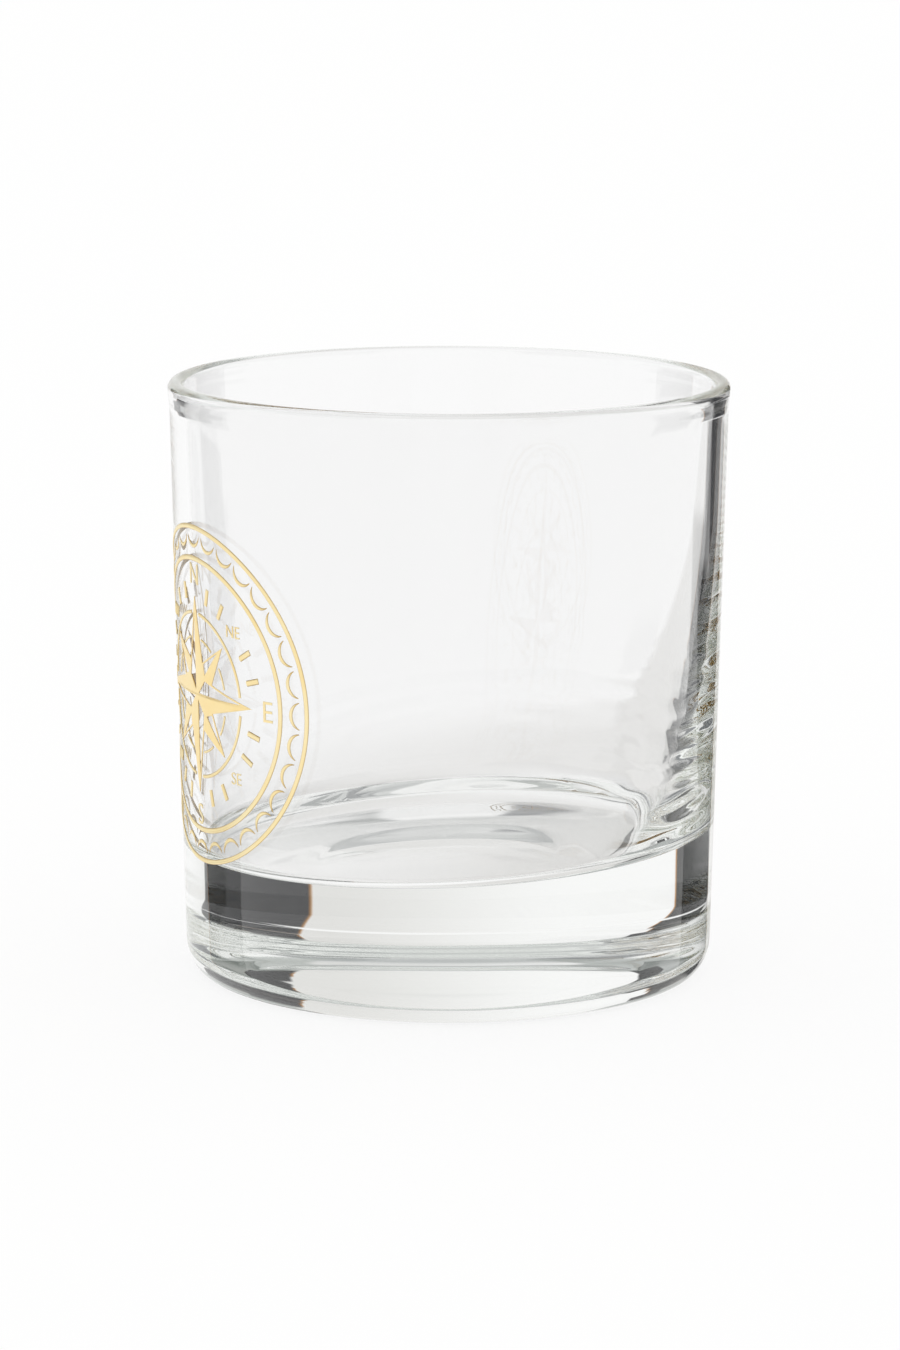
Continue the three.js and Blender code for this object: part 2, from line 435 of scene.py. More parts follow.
@dataclass
class Tumbler:
    """The glass itself, turned from its half section by a node tree."""

    sizes: TumblerSizes = field(default_factory=TumblerSizes)
    finish: BlownGlass = field(default_factory=BlownGlass)
    flaws: GlassFlaws = field(default_factory=GlassFlaws)
    sides: int = 256

    def build(self) -> None:
        """Builds the glass and fixes it to the frame."""
        section = self.sizes.section()
        flaws = self.flaws
        wire = bpy.data.meshes.new("tumbler_section")
        wire.from_pydata([(r * MM, 0.0, z * MM) for r, z in section.points], [], [])
        lengths = {
            "Floor": self.sizes.base_thickness,
            "Lean Top": flaws.lean_top,
            "Thick Side": -flaws.thick_side,
            "Fillet": -flaws.fillet,
            "Fillet Top": flaws.fillet_top,
            "Wrinkle Height": flaws.wrinkle_height,
            "Wrinkle Length": flaws.wrinkle_length,
            "Wrinkle Width": flaws.wrinkle_width,
            "Wrinkle Top": self.sizes.base_thickness + self.sizes.wrinkled_height,
            "Wave Height": flaws.wave_height,
            "Wave Size": flaws.wave_size,
            "Wave Top": flaws.wave_top,
            "Heel Height": self.sizes.heel_height,
        }
        values = {
            "Sides": self.sides,
            "Inner Row": section.inner_row,
            "Lean": math.tan(math.radians(flaws.lean_deg)),
            "Lean Bearing": math.radians(flaws.lean_bearing_deg),
            "Finish": self.finish.make(),
        }
        values |= {name: length * MM for name, length in lengths.items()}
        piece = bake("tumbler_glass", values, self._turned, wire)
        settle(piece, ["tumbler"])

    def _turned(self, tree: NodeTree, given: Inputs) -> Node:
        """Turns a row of section points into a closed glass.

        Args:
            tree: Tree to extend.
            given: Its inputs.

        Returns:
            Node with the glass.
        """
        wire = {"Geometry": given["Source"]}
        rows = add_node(tree, "GeometryNodeAttributeDomainSize", wire, component="MESH")
        columns = add_node(tree, "FunctionNodeIntegerMath", {0: given["Sides"], 1: 1}, "ADD")
        grid = add_node(tree, "GeometryNodeMeshGrid", {"Vertices X": columns, "Vertices Y": rows})
        index = add_node(tree, "GeometryNodeInputIndex")
        row, column = (
            add_node(tree, "FunctionNodeIntegerMath", {0: index, 1: rows}, operation)
            for operation in ("MODULO", "DIVIDE_FLOOR")
        )
        turn = add_node(tree, MATH, {0: column, 1: given["Sides"]}, "DIVIDE")
        angle = add_node(tree, MATH, {0: turn, 1: math.tau}, "MULTIPLY")
        sample = {"Value": add_node(tree, "GeometryNodeInputPosition"), "Index": row}
        point = add_node(
            tree, "GeometryNodeSampleIndex", wire | sample, data_type="FLOAT_VECTOR", domain="POINT"
        )
        place = add_node(tree, ROTATE, {"Vector": point, "Angle": angle}, rotation_type="Z_AXIS")
        outside = add_node(tree, MATH, {0: row, 1: given["Inner Row"]}, "LESS_THAN")
        offset = self._flaws(tree, given, place, outside)
        shape = {"Geometry": grid, "Position": place, "Offset": offset}
        shaped = add_node(tree, "GeometryNodeSetPosition", shape)
        seam = {"Geometry": shaped, "Distance": WELD}
        return add_node(tree, "GeometryNodeMergeByDistance", seam)

    def _flaws(self, tree: NodeTree, given: Inputs, place: Node, outside: Node) -> Node:
        """Adds the floor's lean, the inner wall's wrinkles and the foot's waves.

        Args:
            tree: Tree to extend.
            given: Its inputs.
            place: Node with the true position.
            outside: Node that gives one on the outer wall and underside, else zero.

        Returns:
            Node with the offset from the true position.
        """
        parts = add_node(tree, SEPARATE, {0: place}).outputs
        level = add_node(tree, COMBINE, {"X": parts["X"], "Y": parts["Y"]})
        outward = add_node(tree, VECTOR_MATH, {0: level}, "NORMALIZE")
        east = {"Vector": (1.0, 0.0, 0.0), "Angle": given["Lean Bearing"]}
        bearing = add_node(tree, ROTATE, east, rotation_type="Z_AXIS")
        along, facing = (
            add_node(tree, VECTOR_MATH, {0: vector, 1: bearing}, "DOT_PRODUCT")
            for vector in (place, outward)
        )
        far = add_node(tree, VECTOR_MATH, {0: level}, "LENGTH")
        inside = add_node(tree, MATH, {0: 1.0, 1: outside}, "SUBTRACT")
        whole_radius, true_radius = (radius * MM for radius in self.flaws.outer_part)
        z, floor = parts["Z"], given["Floor"]
        thicker, chilled, outer_part, rounding, leaning, wrinkling, waving, standing = (
            add_node(tree, MAP_RANGE, {"Value": measure, "From Min": none, "From Max": whole})
            for measure, whole, none in (
                (facing, 1.0, -1.0),
                (facing, *self.flaws.wrinkle_side),
                (far, whole_radius, true_radius),
                (z, floor, given["Fillet Top"]),
                (z, floor, given["Lean Top"]),
                (z, floor, given["Wrinkle Top"]),
                (z, floor, given["Wave Top"]),
                (z, given["Heel Height"], 0.0),
            )
        )
        wrinkle, wave = self._noises(tree, given, place)
        swell: Feed = 0.0
        for height, *factors in (
            ("Wrinkle Height", inside, outer_part, wrinkling, chilled, wrinkle),
            ("Wave Height", outside, waving, standing, wave),
            ("Thick Side", inside, outer_part, leaning, leaning, thicker),
            ("Fillet", inside, outer_part, rounding, rounding, thicker),
        ):
            part: Feed = given[height]
            for factor in factors:
                part = add_node(tree, MATH, {0: part, 1: factor}, "MULTIPLY")
            swell = add_node(tree, MATH, {0: swell, 1: part})
        lift: Feed = along
        for factor in (given["Lean"], inside, leaning):
            lift = add_node(tree, MATH, {0: lift, 1: factor}, "MULTIPLY")
        upward = add_node(tree, COMBINE, {"Z": lift})
        sideways = add_node(tree, VECTOR_MATH, {0: outward, "Scale": swell}, "SCALE")
        return add_node(tree, VECTOR_MATH, {0: sideways, 1: upward}, "ADD")

    def _noises(self, tree: NodeTree, given: Inputs, place: Node) -> list[Node]:
        """Adds the noise of the wrinkles and that of the waves, both around zero.

        Args:
            tree: Tree to extend.
            given: Its inputs.
            place: Node with the true position.

        Returns:
            Node of the wrinkles and node of the waves.
        """
        width, length = given["Wrinkle Width"], given["Wrinkle Length"]
        wide = add_node(tree, COMBINE, {"X": width, "Y": width, "Z": length})
        stretched = add_node(tree, VECTOR_MATH, {0: place, 1: wide}, "DIVIDE")
        fine = add_node(tree, MATH, {0: 1.0, 1: given["Wave Size"]}, "DIVIDE")
        noises = []
        for vector, scale in ((stretched, 1.0), (place, fine)):
            pattern = {"Vector": vector, "Scale": scale, "Detail": 0.0}
            noise = add_node(tree, "ShaderNodeTexNoise", pattern)
            noises.append(add_node(tree, MATH, {0: noise, 1: NOISE_MIDDLE}, "SUBTRACT"))
        return noises


@dataclass(frozen=True)
class RoseSizes:
    """Sizes of the compass rose on the unrolled wall, in millimetres and degrees."""

    height: float = 45.0  # middle of the rose above the standing plane
    relief: float = 0.16
    sink: float = 0.03  # root of the print in the wall
    border_radius: float = 25.075
    border_width: float = 0.75
    scallop_count: int = 32
    scallop_ends: float = 23.8
    scallop_depth: float = 1.5
    scallop_width: float = 0.6
    scallop_tip: float = 0.2  # share of the width that is left at the ends
    scallop_spacing: float = 0.7
    dial_radius: float = 20.4
    dial_width: float = 0.8
    tick_places: int = 24
    letter_every: int = 3  # of the ticks' places, every third one holds a letter instead
    tick_inner: float = 14.35
    tick_outer: float = 16.85
    tick_width: float = 0.9
    tick_crest: float = 0.5
    ring_radius: float = 12.275
    ring_width: float = 0.55
    ring_sweep_deg: float = 77.4
    fine_radius: float = 8.65
    fine_width: float = 0.38
    fine_sweep_deg: float = 22.0
    fine_bearing_deg: float = 24.1  # middle of the gap between a main and a side point
    star_reach: float = 14.8
    star_waist: float = 3.8
    side_reach: float = 11.6
    side_shoulder: float = 5.4
    shoulder_deg: float = 22.5  # from a side point to its shoulders
    star_line: float = 0.27
    edge_round: float = 0.07  # rounding of the edges of star and letters
    letter_radius: float = 18.1
    letter_height: float = 3.3
    pair_radius: float = 15.5
    pair_height: float = 1.9


class CompassPoint(Enum):
    """Names of the eight winds and their bearings in degrees."""

    N = 0
    NE = 45
    E = 90
    SE = 135
    S = 180
    SW = 225
    W = 270
    NW = 315


def at_bearing(radius: float, bearing_deg: float) -> Vector:
    """Finds the point of the unrolled rose at a distance and a bearing clockwise from the top."""
    turn = math.radians(bearing_deg)
    return Vector((radius * math.sin(turn), radius * math.cos(turn)))


def cross(a: Vector, b: Vector) -> float:
    """Gives the cross product of two flat vectors."""
    return a.x * b.y - a.y * b.x


def crossing(a: Vector, b: Vector, c: Vector, d: Vector) -> Vector:
    """Finds where the line through a and b meets the line through c and d."""
    return a + (b - a) * (cross(c - a, d - c) / cross(b - a, d - c))


def drawn_in(corners: Sequence[Vector], line: float) -> list[Vector]:
    """Draws a triangle in by one line's width on every side.

    Args:
        corners: The three corners.
        line: Width of the line.

    Returns:
        The corners of the smaller triangle.
    """
    a, b, c = corners
    sides = [(b - c).length, (c - a).length, (a - b).length]
    around = sum(sides)
    centre = (a * sides[0] + b * sides[1] + c * sides[2]) / around
    share = 1 - line * around / abs(cross(b - a, c - a))
    return [centre.lerp(corner, share) for corner in corners]


@dataclass
class CompassRose:
    """Compass rose of raised gold, drawn flat by node trees and laid around the wall."""

    wall: TumblerSizes
    sizes: RoseSizes = field(default_factory=RoseSizes)
    finish: FiredGold = field(default_factory=FiredGold)
    # Its third colour is the painted shade at the low edges of the relief
    star_finish: FiredGold = FiredGold(
        "fired_gold_field", "#FCDB8C", "#FFEDBA", "#CF9C48", metallic=0.2
    )
    slot: str = "gold_print"
    ring_steps: int = 240
    scallop_steps: int = 20
    dome_steps: int = 9
    edge_steps: int = 2
    star_cuts: int = 3  # times that each edge is halved, so that the piece bends
    letter_cuts: int = 1
    fold_deg: float = 35.0  # edges sharper than this stay crisp

    def __post_init__(self) -> None:
        """Makes what all pieces of the rose share."""
        self.gold = self.finish.make()
        self.star_gold = self.star_finish.make()

    def build(self) -> None:
        """Builds every piece of the rose."""
        self._lines()
        self._ticks()
        self._star()
        self._letters()

    def _lines(self) -> None:
        """Builds the two whole rings, the two broken ones and the row of scallops."""
        sizes = self.sizes
        ring = {"Centre": 0.0, "Tip": 1.0, "Count": 1, "Steps": self.ring_steps, "Whole": True}
        whole = ring | {"Sweep": math.tau, "Bearing": 0.0}
        corners = [f"compass_ring_{point.value:03d}" for point in CompassPoint if point.value % 90]
        count = len(corners)
        broken = ring | {"Count": count, "Steps": self.ring_steps // count, "Whole": False}
        arcs = broken | {"Sweep": math.radians(sizes.ring_sweep_deg), "Bearing": math.pi / 4}
        bearing = math.radians(sizes.fine_bearing_deg)
        after = broken | {"Sweep": math.radians(sizes.fine_sweep_deg), "Bearing": bearing}
        before = after | {"Bearing": -bearing}
        half = sizes.scallop_ends * math.tan(math.pi / sizes.scallop_count)
        half -= sizes.scallop_spacing / 2
        scallop_radius = (half**2 + sizes.scallop_depth**2) / (2 * sizes.scallop_depth)
        scallops = {
            "Centre": (sizes.scallop_ends - sizes.scallop_depth + scallop_radius) * MM,
            "Sweep": 4 * math.atan(sizes.scallop_depth / half),
            "Bearing": math.pi,
            "Tip": sizes.scallop_tip,
            "Count": sizes.scallop_count,
            "Steps": self.scallop_steps,
            "Whole": False,
        }
        crescents = [f"scallop_{i:02d}" for i in range(1, sizes.scallop_count + 1)]
        for name, radius, width, values, nodes in (
            ("border_band", sizes.border_radius, sizes.border_width, whole, ["border_ring"]),
            ("dial_band", sizes.dial_radius, sizes.dial_width, whole, ["dial_ring"]),
            ("compass_band", sizes.ring_radius, sizes.ring_width, arcs, corners),
            ("fine_arcs_after", sizes.fine_radius, sizes.fine_width, after, []),
            ("fine_arcs_before", sizes.fine_radius, sizes.fine_width, before, []),
            ("scallop_row", scallop_radius, sizes.scallop_width, scallops, crescents),
        ):
            line = {"Radius": radius * MM, "Width": width * MM}
            self._place(name, values | line, self._line, nodes)

    def _ticks(self) -> None:
        """Builds the short marks between the letters."""
        sizes = self.sizes
        values = {
            "Inner Radius": sizes.tick_inner * MM,
            "Outer Radius": sizes.tick_outer * MM,
            "Width": sizes.tick_width * MM,
            "Crest": sizes.tick_crest * MM,
            "Places": sizes.tick_places,
            "Letter Every": sizes.letter_every,
        }
        step = 360 // sizes.tick_places
        places = [i for i in range(sizes.tick_places) if i % sizes.letter_every]
        nodes = [f"tick_{step * i:03d}" for i in places]
        self._place("tick_row", values, self._tick, nodes)

    def _star(self) -> None:
        """Builds the eight-pointed star, solid on the clockwise half of every point."""
        sizes = self.sizes
        outline: list[Vector] = []
        loops: list[list[Vector]] = [outline]
        middle = Vector((0.0, 0.0))
        winds = [point.value for point in CompassPoint]
        for main, side in zip(winds[::2], winds[1::2]):
            tip, next_tip = (at_bearing(sizes.star_reach, b) for b in (main, 2 * side - main))
            side_tip = at_bearing(sizes.side_reach, side)
            waist = at_bearing(sizes.star_waist, side)
            before = at_bearing(sizes.side_shoulder, side - sizes.shoulder_deg)
            after = at_bearing(sizes.side_shoulder, side + sizes.shoulder_deg)
            notch = crossing(tip, waist, side_tip, before)
            outline += [tip, notch, side_tip, crossing(next_tip, waist, side_tip, after)]
            loops.append(drawn_in((middle, waist, next_tip), sizes.star_line))
            loops.append(drawn_in((waist, notch, side_tip), sizes.star_line))
        curve = bpy.data.curves.new("star_outline", "CURVE")
        for loop in loops:
            spline = curve.splines.new("POLY")
            spline.points.add(len(loop) - 1)
            spline.use_cyclic_u = True
            for point, corner in zip(spline.points, loop):
                point.co = (corner.x, corner.y, 0.0, 1.0)
        shape = bmesh.new()
        shape.from_mesh(self._raised(curve))
        finish = {"Cuts": self.star_cuts, "Finish": self.star_gold}
        self._place("star_plate", finish, self._plate, ["compass_star"], shape)

    def _letters(self) -> None:
        """Builds the eight compass letters in a plain sans, upright on the wall."""
        sizes = self.sizes
        shape = bmesh.new()
        for point in CompassPoint:
            single = len(point.name) == 1
            height = sizes.letter_height if single else sizes.pair_height
            radius = sizes.letter_radius if single else sizes.pair_radius
            text = bpy.data.curves.new(f"letter_{point.name}", "FONT")
            text.body = point.name
            text.size = height / CAP_HEIGHT
            mesh = self._raised(text)
            spans = list(zip(*(vertex.co for vertex in mesh.vertices)))
            middle = (Vector(map(min, spans)) + Vector(map(max, spans))) / 2
            place = at_bearing(radius, point.value).to_3d() - middle
            mesh.transform(Matrix.Translation((place.x, place.y, 0.0)))
            shape.from_mesh(mesh)
        self._place("compass_letters", {"Cuts": self.letter_cuts}, self._plate, [], shape)

    def _raised(self, curve: Curve) -> Mesh:
        """Gives a flat outline its relief and turns it into a mesh.

        Args:
            curve: Outline or text, drawn in millimetres.

        Returns:
            The mesh, in millimetres, standing on the plane of the outline.
        """
        edge = self.sizes.edge_round
        curve.dimensions = "2D"
        curve.fill_mode = "BOTH"
        curve.extrude = self.sizes.relief / 2 - edge
        curve.bevel_depth = edge
        curve.bevel_resolution = self.edge_steps
        curve.offset = -edge
        holder = bpy.data.objects.new(curve.name, curve)
        bpy.context.scene.collection.objects.link(holder)
        graph = bpy.context.evaluated_depsgraph_get()
        mesh = bpy.data.meshes.new_from_object(holder.evaluated_get(graph))
        bpy.data.objects.remove(holder)
        mesh.transform(Matrix.Translation((0.0, 0.0, self.sizes.relief / 2)))
        return mesh

    def _place(
        self,
        name: str,
        values: dict[str, Any],
        draw: Draw,
        nodes: Sequence[str],
        shape: bmesh.types.BMesh | None = None,
    ) -> None:
        """Makes a piece of the print, keeps its folds crisp and fixes it to the frame.

        Args:
            name: Name of the piece.
            values: Inputs of its tree, without those that most pieces share.
            draw: Adds the nodes of the piece to its tree.
            nodes: CAD nodes that the piece stands for.
            shape: Flat shape in millimetres to start from, or nothing; it is used up.
        """
        flat = None
        if shape is not None:
            bmesh.ops.scale(shape, vec=(MM, MM, MM), verts=shape.verts)
            bmesh.ops.remove_doubles(shape, verts=shape.verts, dist=WELD)
            bmesh.ops.recalc_face_normals(shape, faces=shape.faces)
            flat = bpy.data.meshes.new(f"{name}_flat")
            shape.to_mesh(flat)
            shape.free()
        shared = {
            "Foot Radius": self.wall.foot_radius * MM,
            "Taper": self.wall.taper,
            "Rose Height": self.sizes.height * MM,
            "Relief": self.sizes.relief * MM,
            "Sink": self.sizes.sink * MM,
            "Finish": self.gold,
        }
        piece = bake(name, shared | values, draw, flat)
        piece.data.set_sharp_from_angle(angle=math.radians(self.fold_deg))
        settle(piece, nodes)

    def _bent(self, tree: NodeTree, given: Inputs, drawn: Node) -> Node:
        """Bends flat geometry around the wall: its X runs around it, Y up it and Z out of it.

        Args:
            tree: Tree to extend.
            given: Its inputs.
            drawn: Node with the flat geometry.

        Returns:
            Node with the bent geometry.
        """
        place = add_node(tree, "GeometryNodeInputPosition")
        flat = add_node(tree, SEPARATE, {0: place}).outputs
        height = add_node(tree, MATH, {0: flat["Y"], 1: given["Rose Height"]})
        cone = {1: given["Taper"], 2: given["Foot Radius"]}
        wall, middle = (
            add_node(tree, MATH, {0: level} | cone, "MULTIPLY_ADD")
            for level in (height, given["Rose Height"])
        )
        turn = add_node(tree, MATH, {0: flat["X"], 1: middle}, "DIVIDE")
        lift = add_node(tree, MATH, {0: given["Sink"], 1: flat["Z"]}, "SUBTRACT")
        front = add_node(tree, MATH, {0: lift, 1: wall}, "SUBTRACT")
        facing = add_node(tree, COMBINE, {"Y": front, "Z": height})
        turned = add_node(tree, ROTATE, {"Vector": facing, "Angle": turn}, rotation_type="Z_AXIS")
        # The share of the relief, kept as lift, sets where the gold's painted edge shade falls
        share = add_node(tree, MATH, {0: flat["Z"], 1: given["Relief"]}, "DIVIDE")
        real = add_node(tree, "GeometryNodeRealizeInstances", {"Geometry": drawn})
        mark = {"Geometry": real, "Name": "lift", "Value": share}
        marked = add_node(
            tree, "GeometryNodeStoreNamedAttribute", mark, data_type="FLOAT", domain="POINT"
        )
        return add_node(tree, "GeometryNodeSetPosition", {"Geometry": marked, "Position": turned})

    def _around(self, tree: NodeTree, piece: Feed, count: Feed, kept: Feed = True) -> Node:
        """Repeats a piece clockwise around the middle of the rose.

        Args:
            tree: Tree to extend.
            piece: Feed of the piece, drawn at its first place.
            count: Feed of the number of places.
            kept: Feed that is zero for the places that stay empty.

        Returns:
            The node that makes the copies.
        """
        index = add_node(tree, "GeometryNodeInputIndex")
        share = add_node(tree, MATH, {0: index, 1: count}, "DIVIDE")
        turn = add_node(tree, MATH, {0: share, 1: -math.tau}, "MULTIPLY")
        spin = add_node(tree, COMBINE, {"Z": turn})
        places = add_node(tree, "GeometryNodePoints", {"Count": count})
        copies = {"Points": places, "Selection": kept, "Instance": piece, "Rotation": spin}
        return add_node(tree, "GeometryNodeInstanceOnPoints", copies)

    def _dome(self, tree: NodeTree, width: Feed, relief: Feed) -> Node:
        """Draws the section of a raised line: flat below and domed above.

        Args:
            tree: Tree to extend.
            width: Feed of the width of the line.
            relief: Feed of its height.

        Returns:
            Node with the closed section.
        """
        half = add_node(tree, MATH, {0: width, 1: 0.5}, "MULTIPLY")
        size = add_node(tree, COMBINE, {"X": half, "Y": relief, "Z": 1.0})
        upper = {"Radius": 1.0, "Start Angle": math.pi, "Sweep Angle": math.pi, "Connect Center": True}
        arc = add_node(tree, "GeometryNodeCurveArc", {"Resolution": self.dome_steps} | upper)
        return add_node(tree, "GeometryNodeTransform", {"Geometry": arc, "Scale": size})

    def _line(self, tree: NodeTree, given: Inputs) -> Node:
        """Draws a raised ring or a row of arcs, which may be finer at their ends.

        Args:
            tree: Tree to extend.
            given: Its inputs.

        Returns:
            Node with the lines, on the wall.
        """
        sweep, whole = given["Sweep"], given["Whole"]
        middle = add_node(tree, MATH, {0: math.pi / 2, 1: given["Bearing"]}, "SUBTRACT")
        start = add_node(tree, MATH, {0: sweep, 1: -0.5, 2: middle}, "MULTIPLY_ADD")
        size = {"Resolution": given["Steps"], "Radius": given["Radius"]}
        turn = {"Start Angle": start, "Sweep Angle": sweep}
        arc = add_node(tree, "GeometryNodeCurveArc", size | turn)
        circle = add_node(tree, "GeometryNodeCurvePrimitiveCircle", size)
        choice = {"Switch": whole, "False": arc, "True": circle}
        path = add_node(tree, "GeometryNodeSwitch", choice, input_type="GEOMETRY")
        shift = add_node(tree, COMBINE, {"Y": given["Centre"]})
        placed = add_node(tree, "GeometryNodeTransform", {"Geometry": path, "Translation": shift})
        along = add_node(tree, "GeometryNodeSplineParameter")
        angle = add_node(tree, MATH, {0: along, 1: math.pi}, "MULTIPLY")
        swell = add_node(tree, MATH, {0: angle}, "SINE")
        scale = add_node(tree, MAP_RANGE, {"Value": swell, "To Min": given["Tip"], "To Max": 1.0})
        ends = add_node(tree, "FunctionNodeBooleanMath", {0: whole}, "NOT")
        dome = self._dome(tree, given["Width"], given["Relief"])
        line = {"Curve": placed, "Profile Curve": dome, "Scale": scale, "Fill Caps": ends}
        swept = add_node(tree, "GeometryNodeCurveToMesh", line)
        return self._bent(tree, given, self._around(tree, swept, given["Count"]))

    def _tick(self, tree: NodeTree, given: Inputs) -> Node:
        """Draws the row of ticks, which leaves out the places of the letters.

        Args:
            tree: Tree to extend.
            given: Its inputs.

        Returns:
            Node with the ticks, on the wall.
        """
        relief = given["Relief"]
        inner = add_node(tree, COMBINE, {"Y": given["Inner Radius"]})
        outer = add_node(tree, COMBINE, {"Y": given["Outer Radius"]})
        path = add_node(tree, "GeometryNodeCurvePrimitiveLine", {"Start": inner, "End": outer})
        sizes = {"Bottom Width": given["Crest"], "Top Width": given["Width"], "Height": relief}
        section = add_node(
            tree, "GeometryNodeCurvePrimitiveQuadrilateral", sizes | {"Offset": 0.0}, mode="TRAPEZOID"
        )
        rise = add_node(tree, MATH, {0: relief, 1: -0.5}, "MULTIPLY")
        shift = add_node(tree, COMBINE, {"Y": rise})
        standing = add_node(
            tree, "GeometryNodeTransform", {"Geometry": section, "Translation": shift}
        )
        line = {"Curve": path, "Profile Curve": standing, "Fill Caps": True}
        tick = add_node(tree, "GeometryNodeCurveToMesh", line)
        index = add_node(tree, "GeometryNodeInputIndex")
        kept = add_node(
            tree, "FunctionNodeIntegerMath", {0: index, 1: given["Letter Every"]}, "MODULO"
        )
        return self._bent(tree, given, self._around(tree, tick, given["Places"], kept))

    def _plate(self, tree: NodeTree, given: Inputs) -> Node:
        """Lays a flat plate of print around the wall, by nodes added to a tree with its inputs."""
        cuts = {"Mesh": given["Source"], "Level": given["Cuts"]}
        return self._bent(tree, given, add_node(tree, "GeometryNodeSubdivideMesh", cuts))


@dataclass(frozen=True)
class StudioCamera:
    """Camera at the photograph's viewing angle."""

    azimuth_deg: float = 65.2
    distance_mm: float = 746.6
    height_mm: float = 183.24
    pitch_deg: float = 10.508
    yaw_deg: float = -0.016
    roll_deg: float = 0.104
    lens_mm: float = 133.74
    sensor_mm: float = 36.0
    nearest_mm: float = 10.0

    def build(self) -> None:
        """Makes the camera and hands it to the scene."""
        data = bpy.data.cameras.new("camera")
        data.lens = self.lens_mm
        data.sensor_width = self.sensor_mm
        data.clip_start = self.nearest_mm * MM
        camera = bpy.data.objects.new("camera", data)
        turn = math.radians(self.azimuth_deg)
        away = self.distance_mm * MM
        camera.location = (away * math.sin(turn), -away * math.cos(turn), self.height_mm * MM)
        pitch, yaw, roll = map(math.radians, (90 - self.pitch_deg, self.yaw_deg, self.roll_deg))
        look = Euler((pitch, 0.0, turn + yaw)).to_matrix()
        camera.rotation_euler = (look @ Matrix.Rotation(roll, 3, "Z")).to_euler()
        bpy.context.scene.collection.objects.link(camera)
        bpy.context.scene.camera = camera


@dataclass(frozen=True)
class Screen:
    """Screen beside the glass, placed by what lies behind the glass for the camera.

    The azimuth counts to the right from straight behind the glass. The reach is an elevation
    in degrees for a screen of the surround, a distance in millimetres for one on the table and
    a height in millimetres for a standing card.
    """

    azimuth_deg: Point
    reach: Point
    shade: str
    soft_deg: float = 4.0
    soft_reach: float = 8.0
    lean: float = 0.0  # degrees that its sides move to the right for each step of reach


